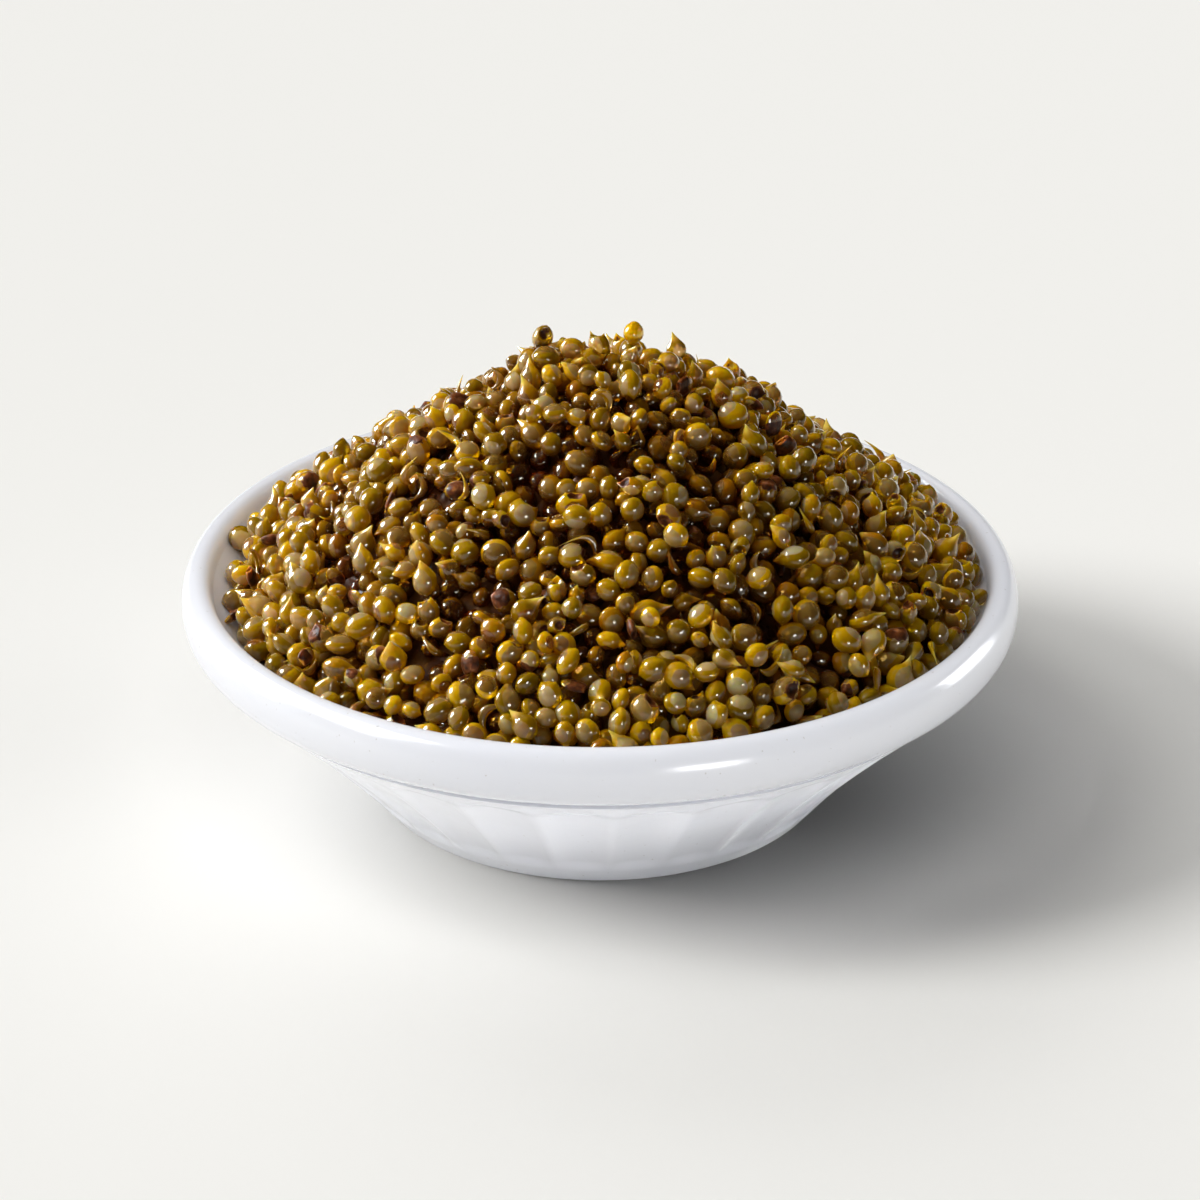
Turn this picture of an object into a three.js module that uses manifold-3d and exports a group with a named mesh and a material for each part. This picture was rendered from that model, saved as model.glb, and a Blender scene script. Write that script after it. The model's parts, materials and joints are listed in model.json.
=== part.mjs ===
import * as THREE from 'three';
import { mergeVertices } from 'three/addons/utils/BufferGeometryUtils.js';
import Module from 'manifold-3d';

// A small white porcelain dish heaped with tonburi, cooked seeds about two millimetres across.
// Millimetres, +Z up. The foot ring stands on Z = 0 and the dish's axis is X = Y = 0.

// ---- dish: driving dimensions ----

const rimRadius = 33; // the widest point, half way up the rounded rim band
const rimHeight = 18.8;
const mouthRadius = 30.45; // the rim's inner edge
const mouthHeight = 17.4;
const ledgeRadius = 31.0; // where the rim band steps out over the flared side
const ledgeHeight = 13.5;
const footRadius = 18.0;
const footWidth = 2.2; // flat of the foot ring
const footRecess = 0.9; // the base is hollowed this far inside the foot ring
const wallFoot = { radius: 19.3, height: 5.4 }; // where the straight inner wall ends
const floorEdge = { radius: 17.2, height: 3.6 };
const floorHeight = 2.9; // inside, at the middle
const flankHollow = 0.5; // the side sinks this far below a straight line from foot to ledge
const dishSides = 90; // three to a flute

// The rim band's outline, as radius and height: a groove, a bulge out to the widest point, the
// rounded top and the inner edge. The pulls are the points that bend each curve.
const groove = [ledgeRadius - 0.05, 13.85];
const groovePull = [32.1, 14.15];
const widestHeight = 16.5;
const widestPulls = { below: 14.9, above: 17.8 };
const crownRadius = 31.625;
const crownPull = 0.7; // to either side of the crown
const mouthPull = [30.6, 18.1];
const curveSteps = 3;

// ---- flutes round the flared side ----

const fluteCount = 30;
const fluteDepth = 0.5;
const fluteLow = 1.2; // below this height the foot band is smooth
const fluteHigh = 12.5; // above it is the plain collar under the ledge
const fluteFade = 1.1; // height over which a flute runs out at each end
const firstRidge = THREE.MathUtils.degToRad(2.2); // a ridge between flutes, from the front

// ---- heap: driving dimensions ----

const heapRadius = 29.6;
const heapEdgeHeight = 17.4;
const heapPeak = 37.8; // where the cone's sides would meet, before the top is rounded
const heapCrown = 36.3; // the rounded top
const crownSoftness = 0.45;
const sideCurve = [1.252, 0.819]; // exponents of the side: nearly straight, rolling over at the edge
const heapLean = 0.6; // the heap lies this far to the right
const heapEdge = 17; // height at which the heap meets the wall
const clearance = 0.32; // between the heap and the dish

// Lumps and dips in the heap: place, height and reach.
const lumps = [
  { x: -4.6, y: 3.5, rise: 1.5, reach: 2.4 },
  { x: -8.4, y: 8.8, rise: -1.2, reach: 2.0 },
  { x: 11.5, y: 9.5, rise: 0.5, reach: 2.5 },
  { x: 15.2, y: 13.4, rise: -1.3, reach: 2.2 },
  { x: 18.2, y: 13.6, rise: 1.0, reach: 2.2 },
  { x: -17.5, y: -9.0, rise: 0.6, reach: 4.0 },
  { x: 9.0, y: -14.0, rise: 0.5, reach: 4.5 },
  { x: -3.0, y: -12.5, rise: -0.5, reach: 3.5 },
];

// ---- seeds ----

const seedPitch = 2.12; // between neighbours in a row
const rowPitch = 1.98; // between rows, down the slope
const bumpHeight = 1.05; // from the crevices between seeds to their tops
const bumpUneven = 0.35;
const rowJitter = 0.24; // share of the pitch that a seed strays from its place
const bumpInset = 0.9; // the bumps stop this far inside the heap's edge
const bumpSeat = 0.35; // their tops lie this far under the heap's outline
const creviceShare = { least: 0.8, most: 1.15 }; // of the bump height
const looseSeeds = 72; // whole seeds on top of the bumps
const looseRadius = 26.8; // none of them lies nearer the wall than this
const seedSizes = { least: 0.86, most: 1.14 }; // half lengths
const seedFlatness = 0.84;
const tailShare = 0.3; // of the loose seeds, how many end in a pulled tip
const tailLength = 1.75; // times the seed's half length
const looseLift = { least: -0.8, most: -0.45 }; // of their middles, above the heap's outline
const looseStray = { radius: 0.5, angle: 0.15 }; // from an even spread
const crownSeeds = [{ x: 2.6, y: 2.4, lift: -0.75 }, { x: 2.6, y: 2.4, lift: 0.6 }];
const edgeSides = 60; // corners of the heap's edge, sides and underside

// ---- helpers ----

// Repeatable random numbers from 0 to 1.
function makeRandom(seed) {
  let state = seed;
  return () => {
    state = (state + 0x6d2b79f5) | 0;
    let mixed = Math.imul(state ^ (state >>> 15), 1 | state);
    mixed = (mixed + Math.imul(mixed ^ (mixed >>> 7), 61 | mixed)) ^ mixed;
    return ((mixed ^ (mixed >>> 14)) >>> 0) / 4294967296;
  };
}

const random = makeRandom(20);
const between = (low, high) => low + (high - low) * random();

function positionsOnly(geometry) {
  geometry.deleteAttribute('normal');
  geometry.deleteAttribute('uv');
  return mergeVertices(geometry, 1e-4);
}

// ---- dish ----

// Radius of the flared side at a height, before it is fluted.
function flankRadius(height) {
  const up = height / ledgeHeight;
  return footRadius + (ledgeRadius - footRadius) * up - flankHollow * 4 * up * (1 - up);
}

// Radius of the straight inner wall at a height.
function wallRadius(height) {
  const up = (height - wallFoot.height) / (mouthHeight - wallFoot.height);
  return wallFoot.radius + (mouthRadius - wallFoot.radius) * up;
}

// How far the side is scooped away: nothing on the ridges, the foot band and the collar.
function fluteScoop(angle, height) {
  const across = 0.5 - 0.5 * Math.cos(fluteCount * (angle - firstRidge));
  const start = THREE.MathUtils.smoothstep(height, fluteLow, fluteLow + fluteFade);
  const end = 1 - THREE.MathUtils.smoothstep(height, fluteHigh - fluteFade, fluteHigh);
  return fluteDepth * across * start * end;
}

function dishOutline() {
  const outline = new THREE.Path();
  outline.moveTo(0, footRecess);
  outline.lineTo(footRadius - footWidth - footRecess, footRecess);
  outline.lineTo(footRadius - footWidth, 0);
  outline.lineTo(footRadius, 0);
  const middle = (fluteLow + fluteHigh) / 2;
  const rings = [fluteLow, fluteLow + fluteFade, middle, fluteHigh - fluteFade, fluteHigh];
  for (const height of [...rings, ledgeHeight]) outline.lineTo(flankRadius(height), height);
  outline.lineTo(...groove);
  outline.bezierCurveTo(...groovePull, rimRadius, widestPulls.below, rimRadius, widestHeight);
  const [outer, inner] = [crownRadius + crownPull, crownRadius - crownPull];
  outline.bezierCurveTo(rimRadius, widestPulls.above, outer, rimHeight, crownRadius, rimHeight);
  outline.bezierCurveTo(inner, rimHeight, ...mouthPull, mouthRadius, mouthHeight);
  outline.lineTo(wallFoot.radius, wallFoot.height);
  outline.lineTo(floorEdge.radius, floorEdge.height);
  outline.lineTo(0, floorHeight);
  return outline.getPoints(curveSteps);
}

function makeDish() {
  const dish = positionsOnly(new THREE.LatheGeometry(dishOutline(), dishSides, firstRidge));
  const corners = dish.getAttribute('position');
  const slack = 0.01; // a corner this near the flared side lies on it
  for (let i = 0; i < corners.count; i += 1) {
    const [x, height, z] = [corners.getX(i), corners.getY(i), corners.getZ(i)];
    const radius = Math.hypot(x, z);
    const outside = radius > flankRadius(height) - slack && height < ledgeHeight;
    if (!outside) continue;
    const scooped = 1 - fluteScoop(Math.atan2(x, z), height) / radius;
    corners.setXYZ(i, x * scooped, height, z * scooped);
  }
  dish.rotateX(Math.PI / 2);
  return dish;
}

// ---- heap ----

// Height of the heap's outer surface above the table.
function heapHeight(x, y) {
  const out = Math.min(Math.hypot(x - heapLean, y) / heapRadius, 1);
  const cone = heapEdgeHeight + (heapPeak - heapEdgeHeight) * (1 - out ** sideCurve[0]) ** sideCurve[1];
  const over = (cone - heapCrown) / crownSoftness;
  let height = cone - crownSoftness * Math.log1p(Math.exp(over)); // a soft ceiling at the crown
  for (const { x: lumpX, y: lumpY, rise, reach } of lumps) {
    height += rise * Math.exp(-((x - lumpX) ** 2 + (y - lumpY) ** 2) / reach ** 2);
  }
  return height;
}

// Unit normal of the heap's surface.
function heapNormal(x, y) {
  const step = 0.4;
  const slopeX = (heapHeight(x + step, y) - heapHeight(x - step, y)) / (2 * step);
  const slopeY = (heapHeight(x, y + step) - heapHeight(x, y - step)) / (2 * step);
  return new THREE.Vector3(-slopeX, -slopeY, 1).normalize();
}

// A point on the heap, raised or sunk along the surface's normal.
function onHeap(x, y, lift) {
  return new THREE.Vector3(x, y, heapHeight(x, y)).addScaledVector(heapNormal(x, y), lift);
}

// Rows of seed tops, from the one at the crown down to the heap's edge.
function seedRows() {
  const rows = [[{ angle: 0, point: onHeap(0, 0, 0) }]];
  const outermost = heapRadius - bumpInset;
  const step = 0.5; // for the slope on the way down
  let radius = 0;
  for (;;) {
    const drop = (heapHeight(0, -radius) - heapHeight(0, -radius - step)) / step;
    radius += rowPitch / Math.hypot(1, drop);
    if (radius > outermost) return rows;
    const count = Math.round((2 * Math.PI * radius) / seedPitch);
    const start = random();
    const row = [];
    for (let i = 0; i < count; i += 1) {
      const angle = ((i + start + between(-rowJitter, rowJitter)) * 2 * Math.PI) / count;
      const r = Math.min(radius + between(-rowJitter, rowJitter) * rowPitch, outermost);
      const lift = between(-bumpUneven, bumpUneven) - bumpSeat;
      row.push({ angle, point: onHeap(r * Math.cos(angle), r * Math.sin(angle), lift) });
    }
    rows.push(row);
  }
}

// A level ring of corners just inside the dish.
function wallRing(height, radius) {
  const ring = [];
  for (let i = 0; i < edgeSides; i += 1) {
    const angle = (i * 2 * Math.PI) / edgeSides;
    const point = new THREE.Vector3(radius * Math.cos(angle), radius * Math.sin(angle), height);
    ring.push({ angle, point });
  }
  return ring;
}

// Triangles between two rings about the axis, counter-clockwise from above, inner ring first.
function bridge(inner, outer) {
  const faces = [];
  const innerSteps = inner.length > 1 ? inner.length : 0;
  const at = (ring, i) => ring[i % ring.length];
  const turned = (ring, i) => at(ring, i).angle + 2 * Math.PI * Math.floor(i / ring.length);
  let i = 0;
  let j = 0;
  while (i < innerSteps || j < outer.length) {
    const nextInner = i < innerSteps ? turned(inner, i + 1) : Infinity;
    const nextOuter = j < outer.length ? turned(outer, j + 1) : Infinity;
    if (nextOuter <= nextInner) {
      faces.push([at(inner, i), at(outer, j), at(outer, j + 1)]);
      j += 1;
    } else {
      faces.push([at(inner, i), at(outer, j), at(inner, i + 1)]);
      i += 1;
    }
  }
  return faces;
}

// Turns a net of seed tops into bumps: a crevice sinks at the middle of each face of the net,
// and each seed top becomes a small pyramid between the crevices round it.
function raiseBumps(net) {
  const crevices = net.map((face) => {
    const middle = new THREE.Vector3();
    for (const corner of face) middle.addScaledVector(corner.point, 1 / 3);
    const sink = bumpHeight * between(creviceShare.least, creviceShare.most);
    return { point: middle.addScaledVector(heapNormal(middle.x, middle.y), -sink) };
  });
  const leftOf = new Map();
  net.forEach((face, index) => {
    face.forEach((from, k) => {
      const to = face[(k + 1) % 3];
      if (!leftOf.has(from)) leftOf.set(from, new Map());
      leftOf.get(from).set(to, crevices[index]);
    });
  });
  const bumps = [];
  for (const [from, edges] of leftOf) {
    for (const [to, left] of edges) {
      const right = leftOf.get(to)?.get(from);
      bumps.push(right ? [from, right, left] : [from, to, left]);
    }
  }
  return bumps;
}

// A closed solid from faces whose corners are shared objects.
function solidFromFaces(wasm, faces) {
  const order = new Map();
  const vertProperties = [];
  const triVerts = [];
  for (const corner of faces.flat()) {
    if (!order.has(corner)) {
      order.set(corner, order.size);
      vertProperties.push(...corner.point.toArray());
    }
    triVerts.push(order.get(corner));
  }
  return new wasm.Manifold(new wasm.Mesh({
    numProp: 3,
    vertProperties: new Float32Array(vertProperties),
    triVerts: new Uint32Array(triVerts),
  }));
}

function solidFromGeometry(wasm, geometry) {
  const merged = positionsOnly(geometry);
  return new wasm.Manifold(new wasm.Mesh({
    numProp: 3,
    vertProperties: new Float32Array(merged.getAttribute('position').array),
    triVerts: new Uint32Array(merged.index.array),
  }));
}

// The heap without its loose seeds: bumps above, and the dish's own inside below.
function heapCore(wasm) {
  const rows = seedRows();
  const levels = [heapEdge, wallFoot.height].map((height) => (
    wallRing(height, wallRadius(height) - clearance * Math.SQRT2)
  ));
  levels.push(wallRing(floorEdge.height + clearance, floorEdge.radius - clearance));
  const net = [];
  rows.push(levels[0]);
  for (let i = 1; i < rows.length; i += 1) net.push(...bridge(rows[i - 1], rows[i]));
  const faces = raiseBumps(net);
  for (let i = 1; i < levels.length; i += 1) {
    for (const [a, b, c] of bridge(levels[i], levels[i - 1])) faces.push([a, c, b]);
  }
  const bottom = [{ angle: 0, point: new THREE.Vector3(0, 0, floorHeight + clearance) }];
  for (const [a, b, c] of bridge(bottom, levels.at(-1))) faces.push([a, c, b]);
  return solidFromFaces(wasm, faces);
}

// One whole seed, slightly flattened, with or without a pulled tip.
function wholeSeed(halfLength, tailed) {
  const seed = positionsOnly(new THREE.IcosahedronGeometry(1, 0));
  if (tailed) {
    const corners = seed.getAttribute('position');
    const tip = new THREE.Vector3().fromBufferAttribute(corners, 0).multiplyScalar(tailLength);
    corners.setXYZ(0, tip.x, tip.y, tip.z);
  }
  seed.rotateZ(between(0, 2 * Math.PI));
  seed.rotateX(between(0, 2 * Math.PI));
  seed.scale(halfLength, halfLength * between(seedFlatness, 1), halfLength * seedFlatness);
  seed.rotateZ(between(0, 2 * Math.PI));
  return seed;
}

// Places of the loose seeds: one stands on another at the crown, the rest lie evenly all over.
function loosePlaces() {
  const golden = Math.PI * (3 - Math.sqrt(5));
  const places = [...crownSeeds];
  for (let i = places.length; i < looseSeeds; i += 1) {
    const out = looseRadius * Math.sqrt((i + 0.5) / looseSeeds);
    const radius = out + between(-looseStray.radius, looseStray.radius);
    const angle = i * golden + between(-looseStray.angle, looseStray.angle);
    const lift = between(looseLift.least, looseLift.most);
    places.push({ x: radius * Math.cos(angle), y: radius * Math.sin(angle), lift });
  }
  return places;
}

function makeHeap(wasm) {
  const seeds = loosePlaces().map(({ x, y, lift }, i) => {
    const halfLength = between(seedSizes.least, seedSizes.most);
    const tailed = i >= crownSeeds.length && random() < tailShare;
    const seed = wholeSeed(halfLength, tailed);
    const place = onHeap(x, y, lift);
    seed.translate(place.x, place.y, place.z);
    return solidFromGeometry(wasm, seed);
  });
  const joined = seeds.reduce((solid, seed) => solid.add(seed), heapCore(wasm));
  // the largest shell alone, without a seed that touches nothing or a hollow sealed between seeds
  const shells = joined.decompose().sort((a, b) => b.volume() - a.volume());
  const heap = shells[0].getMesh();
  const geometry = new THREE.BufferGeometry();
  geometry.setAttribute('position', new THREE.BufferAttribute(new Float32Array(heap.vertProperties), 3));
  geometry.setIndex(new THREE.BufferAttribute(new Uint32Array(heap.triVerts), 1));
  return geometry;
}

// ---- scene graph ----

const porcelain = new THREE.MeshStandardMaterial({ color: 0xf4f5f6, roughness: 0.12, metalness: 0 });
const cookedSeed = new THREE.MeshStandardMaterial({ color: 0x7a5c1c, roughness: 0.28, metalness: 0 });

function namedMesh(name, geometry, material) {
  const mesh = new THREE.Mesh(geometry, material);
  mesh.name = name;
  return mesh;
}

const wasm = await Module();
wasm.setup();

const group = new THREE.Group();
group.add(namedMesh('dish', makeDish(), porcelain));
group.add(namedMesh('tonburi_heap', makeHeap(wasm), cookedSeed));

export default group;
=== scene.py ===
# A small white porcelain dish heaped with tonburi, cooked seeds about two millimetres across.
# Shapes are worked out in millimetres and turned into metres when a mesh is made.
import json
import math

import bpy
import numpy as np
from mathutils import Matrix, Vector, kdtree

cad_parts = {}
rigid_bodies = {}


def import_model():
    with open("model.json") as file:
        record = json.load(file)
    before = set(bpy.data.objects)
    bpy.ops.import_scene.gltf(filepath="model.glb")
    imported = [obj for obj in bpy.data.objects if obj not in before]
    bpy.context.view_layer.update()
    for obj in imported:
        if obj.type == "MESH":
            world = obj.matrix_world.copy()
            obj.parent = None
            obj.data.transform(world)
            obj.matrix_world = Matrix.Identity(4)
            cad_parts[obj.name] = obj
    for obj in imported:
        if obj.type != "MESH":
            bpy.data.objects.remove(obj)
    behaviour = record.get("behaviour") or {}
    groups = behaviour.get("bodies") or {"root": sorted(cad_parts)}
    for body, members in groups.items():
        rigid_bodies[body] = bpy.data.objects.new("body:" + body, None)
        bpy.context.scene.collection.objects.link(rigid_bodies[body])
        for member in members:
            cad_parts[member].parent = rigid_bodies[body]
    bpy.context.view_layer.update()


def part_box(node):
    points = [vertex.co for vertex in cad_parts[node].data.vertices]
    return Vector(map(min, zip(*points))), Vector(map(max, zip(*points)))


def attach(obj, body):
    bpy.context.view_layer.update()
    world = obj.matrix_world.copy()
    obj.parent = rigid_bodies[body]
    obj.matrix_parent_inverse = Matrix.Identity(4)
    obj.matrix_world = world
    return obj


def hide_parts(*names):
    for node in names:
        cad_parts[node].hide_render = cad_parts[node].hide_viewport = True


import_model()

mm = 0.001
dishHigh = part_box("dish")[1]
rng = np.random.default_rng(20)


# small helpers

def smoothStep(value, low, high):
    t = np.clip((value - low) / (high - low), 0, 1)
    return t * t * (3 - 2 * t)


def addObject(name, data):
    piece = bpy.data.objects.new(name, data)
    bpy.context.scene.collection.objects.link(piece)
    return piece


def smoothMesh(name, points, faces):
    mesh = bpy.data.meshes.new(name)
    mesh.from_pydata(points.tolist(), [], faces)
    mesh.polygons.foreach_set("use_smooth", [True] * len(mesh.polygons))
    return mesh


def meshPiece(name, points, faces, material):
    mesh = smoothMesh(name, np.asarray(points) * mm, faces)
    mesh.update()
    mesh.materials.append(material)
    return addObject(name, mesh)


def addAttribute(mesh, name, kind, values):
    attribute = mesh.attributes.new(name, kind, "POINT")
    field = "vector" if kind == "FLOAT_VECTOR" else "value"
    attribute.data.foreach_set(field, np.asarray(values).ravel().tolist())


def ringFaces(rings, sides):
    # quads between rings of corners, with a fan to a single corner at either end
    faces = []
    last = 1 + (rings - 1) * sides
    for j in range(sides):
        k = (j + 1) % sides
        faces.append((0, 1 + k, 1 + j))
        for i in range(rings - 1):
            a = 1 + i * sides
            b = a + sides
            faces.append((a + j, a + k, b + k, b + j))
        faces.append((last + j, last + k, last + sides))
    return faces


def anglesRound(sides):
    return np.arange(sides) * 2 * math.pi / sides


class NodeMaker:
    # makes and links the nodes of a material or a node group in short calls
    def __init__(self, tree):
        self.tree = tree

    def add(self, kind, inputs=None, **settings):
        node = self.tree.nodes.new(kind)
        for key, value in settings.items():
            setattr(node, key, value)
        for key, value in (inputs or {}).items():
            self.feed(node.inputs[key], value)
        return node

    def feed(self, socket, value):
        if isinstance(value, bpy.types.NodeSocket):
            self.tree.links.new(value, socket)
        else:
            socket.default_value = value

    def feedAll(self, node, values):
        for name, value in values.items():
            self.feed(node.inputs[name], value)

    def maths(self, operation, a, b=0.0):
        return self.add("ShaderNodeMath", {0: a, 1: b}, operation=operation).outputs[0]

    def times(self, a, b):
        return self.maths("MULTIPLY", a, b)

    def ramp(self, value, stops):
        node = self.add("ShaderNodeValToRGB", {0: value})
        elements = node.color_ramp.elements
        while len(elements) < len(stops):
            elements.new(0.5)
        for element, (place, colour) in zip(elements, stops):
            element.position = place
            element.color = (*colour, 1)
        return node.outputs["Color"]

    def blend(self, share, a, b, how="MIX"):
        node = self.add("ShaderNodeMix", data_type="RGBA", blend_type=how)
        self.feedAll(node, {"Factor": share, "A": a, "B": b})
        return node.outputs["Result"]

    def span(self, value, low, high, toLow=0.0, toHigh=1.0):
        inputs = {"Value": value, "From Min": low, "From Max": high, "To Min": toLow, "To Max": toHigh}
        return self.add("ShaderNodeMapRange", inputs, interpolation_type="SMOOTHSTEP").outputs[0]

    def noise(self, vector, scale, detail):
        inputs = {"Vector": vector, "Scale": scale, "Detail": detail}
        return self.add("ShaderNodeTexNoise", inputs).outputs["Fac"]

    def bump(self, height, strength, distance):
        inputs = {"Height": height, "Strength": strength, "Distance": distance}
        return self.add("ShaderNodeBump", inputs).outputs[0]

    def objectPlace(self):
        return self.add("ShaderNodeTexCoord").outputs["Object"]


def newMaterial(name):
    material = bpy.data.materials.new(name)
    material.use_nodes = True
    make = NodeMaker(material.node_tree)
    return material, make, material.node_tree.nodes["Principled BSDF"]


# the dish

dish = {
    "rimRadius": dishHigh.x / mm,
    "rimHeight": dishHigh.z / mm,
    "widestHeight": 16.5,
    "widestPulls": (15.0, 17.8),  # heights of the points that bend the rim's outside, below and above
    "crownShift": 0.1,  # how far the crown lies inwards of the middle between rim and mouth
    "crownPull": 0.75,
    "mouthRadius": 30.45,
    "mouthHeight": 17.4,
    "mouthPull": (0.25, 0.9),  # out and up from the mouth
    "ledgeRadius": 31.0,
    "ledgeHeight": 13.5,
    # the groove over the ledge, each corner measured from the ledge's edge, and the corners' cuts
    "groove": [(0.0, 0.0), (-0.42, 0.16), (0.1, 0.42), (0.5, 0.6)],
    "grooveCuts": [0, 0.2, 0.1, 0.14, 0],
    "groovePull": (1.4, 1.0),  # out and up from the ledge's edge
    "footRadius": 18.0,
    "footWidth": 2.2,
    "footRecess": 0.9,
    "footCuts": [0, 0.5, 0.4, 0.4, 0],
    "flankHollow": 0.5,
    "flankFrom": 0.9,  # the side starts this high, and ends this far below the ledge
    "flankTo": 0.5,
    "wallFrom": 16.4,
    "wallTo": 6.2,
    "wallFoot": (19.3, 5.4),
    "floorEdge": (17.2, 3.6),
    "floorRound": (10, 3.0),
    "floorCuts": [0, 0.8, 1.6, 0],
    "floorHeight": 2.9,
    "sides": 360,
}

flutes = {
    "count": 30,
    "depth": 0.42,
    "fullness": 0.85,  # below 1 the hollow has steeper sides and a flatter middle
    "low": 1.6,
    "high": 12.6,
    "archDrop": 1.2,  # how much lower the arch is at the ridges than over the middle of a flute
    "fadeLow": 1.3,
    "fadeHigh": 0.9,
    "firstRidge": math.radians(2.2),  # from the front, towards +X
    "collar": 0.3,  # nothing is scooped away this near the ledge
}

porcelain = {
    "tones": [(0.3, (0.850, 0.864, 0.925)), (0.7, (0.880, 0.892, 0.942))],
    "toneNoise": (60.0, 3.0),  # a noise's scale and detail, as below
    "dust": (0.42, 0.38, 0.33, 1),
    "dustNoise": (2600.0, 1.0),
    "dustFrom": (0.74, 0.80),
    "dustShare": 0.35,
    "roughness": (0.3, 0.75, 0.13, 0.22),
    "roughNoise": (220.0, 4.0),
    "waveNoise": (75.0, 2.0),
    "grainNoise": (900.0, 2.0),
    "grainShare": 0.05,
    "bump": (0.35, 0.0003),  # strength, and distance in metres
    "shader": {
        "IOR": 1.52,
        "Subsurface Weight": 0.15,
        "Subsurface Radius": (0.9, 0.95, 1.0),
        "Subsurface Scale": 0.0008,
    },
}


def flankRadius(height):
    up = height / dish["ledgeHeight"]
    straight = dish["footRadius"] + (dish["ledgeRadius"] - dish["footRadius"]) * up
    return straight - dish["flankHollow"] * 4 * up * (1 - up)


def wallRadius(height):
    radius, low = dish["wallFoot"]
    up = (height - low) / (dish["mouthHeight"] - low)
    return radius + (dish["mouthRadius"] - radius) * up


def curve(a, b, c, d, steps):
    t = np.linspace(0, 1, steps + 1)[1:, None]
    a, b, c, d = (np.array(point, float) for point in (a, b, c, d))
    return (1 - t) ** 3 * a + 3 * (1 - t) ** 2 * t * b + 3 * (1 - t) * t * t * c + t ** 3 * d


def rounded(corners, cuts, steps):
    # a line through the corners, each of them rounded off over its own cut
    corners = [np.array(corner, float) for corner in corners]
    line = []
    for i, (corner, cut) in enumerate(zip(corners, cuts)):
        if cut == 0:
            line.append(corner)
            continue
        before = corners[i - 1] - corner
        after = corners[i + 1] - corner
        start = corner + before / np.linalg.norm(before) * cut
        end = corner + after / np.linalg.norm(after) * cut
        line.append(start)
        line.extend(curve(start, corner, corner, end, steps))
    return line


def rimOutline(start):
    # from the groove out to the widest point, over the crown and down to the mouth
    rim, top = dish["rimRadius"], dish["rimHeight"]
    mouth, mouthUp = dish["mouthRadius"], dish["mouthHeight"]
    crown = (rim + mouth) / 2 - dish["crownShift"]
    pull = dish["crownPull"]
    below, above = dish["widestPulls"]
    pullOut, pullUp = dish["groovePull"]
    leave = (dish["ledgeRadius"] + pullOut, dish["ledgeHeight"] + pullUp)
    arrive = (mouth + dish["mouthPull"][0], mouthUp + dish["mouthPull"][1])
    widest = (rim, dish["widestHeight"])
    line = [*curve(start, leave, (rim, below), widest, 14)]
    line.extend(curve(widest, (rim, above), (crown + pull, top), (crown, top), 12))
    line.extend(curve((crown, top), (crown - pull, top), arrive, (mouth, mouthUp), 12))
    return line


def dishOutline():
    # radius and height, from the middle of the underside, up the outside and down the inside
    foot, recess = dish["footRadius"], dish["footRecess"]
    inner = foot - dish["footWidth"]
    ledge, ledgeUp = dish["ledgeRadius"], dish["ledgeHeight"]
    flank = [(flankRadius(z), z) for z in np.linspace(dish["flankFrom"], ledgeUp - dish["flankTo"], 60)]
    under = [(0, recess), (inner - recess, recess), (inner, 0), (foot, 0), flank[0]]
    line = rounded(under, dish["footCuts"], 6)
    line.extend(flank[1:])
    groove = [(ledge + out, ledgeUp + up) for out, up in dish["groove"]]
    line.extend(rounded([flank[-1], *groove], dish["grooveCuts"], 4)[1:])
    line.extend(rimOutline(line[-1]))
    line.extend((wallRadius(z), z) for z in np.linspace(dish["wallFrom"], dish["wallFoot"][1] + 1, 8))
    wallEnd = (wallRadius(dish["wallTo"]), dish["wallTo"])
    inside = [wallEnd, dish["wallFoot"], dish["floorEdge"], dish["floorRound"]]
    line.extend(rounded(inside, dish["floorCuts"], 4)[1:])
    line.append((0, dish["floorHeight"]))
    return np.array(line)


def fluteScoop(angle, height):
    # how far the side is scooped away: an arch-topped channel between sharp ridges
    turn = (angle - flutes["firstRidge"]) * flutes["count"] / (2 * math.pi)
    across = np.abs(2 * (turn - np.floor(turn)) - 1)  # 1 on a ridge, 0 in the middle of a flute
    archTop = flutes["high"] - flutes["archDrop"] * (1 - np.sqrt(1 - np.minimum(across, 1) ** 2))
    hollow = (1 - across ** 2) ** flutes["fullness"]
    below = smoothStep(archTop - height, 0, flutes["fadeHigh"])
    above = smoothStep(height, flutes["low"], flutes["low"] + flutes["fadeLow"])
    return flutes["depth"] * hollow * below * above


def porcelainMaterial():
    material, make, shader = newMaterial("whitePorcelain")
    place = make.objectPlace()
    colour = make.ramp(make.noise(place, *porcelain["toneNoise"]), porcelain["tones"])
    dust = make.span(make.noise(place, *porcelain["dustNoise"]), *porcelain["dustFrom"])
    dust = make.times(dust, porcelain["dustShare"])
    wave = make.noise(place, *porcelain["waveNoise"])
    grain = make.times(make.noise(place, *porcelain["grainNoise"]), porcelain["grainShare"])
    make.feedAll(shader, {
        "Base Color": make.blend(dust, colour, porcelain["dust"]),
        "Roughness": make.span(make.noise(place, *porcelain["roughNoise"]), *porcelain["roughness"]),
        "Normal": make.bump(make.maths("ADD", wave, grain), *porcelain["bump"]),
        **porcelain["shader"],
    })
    return material


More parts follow.
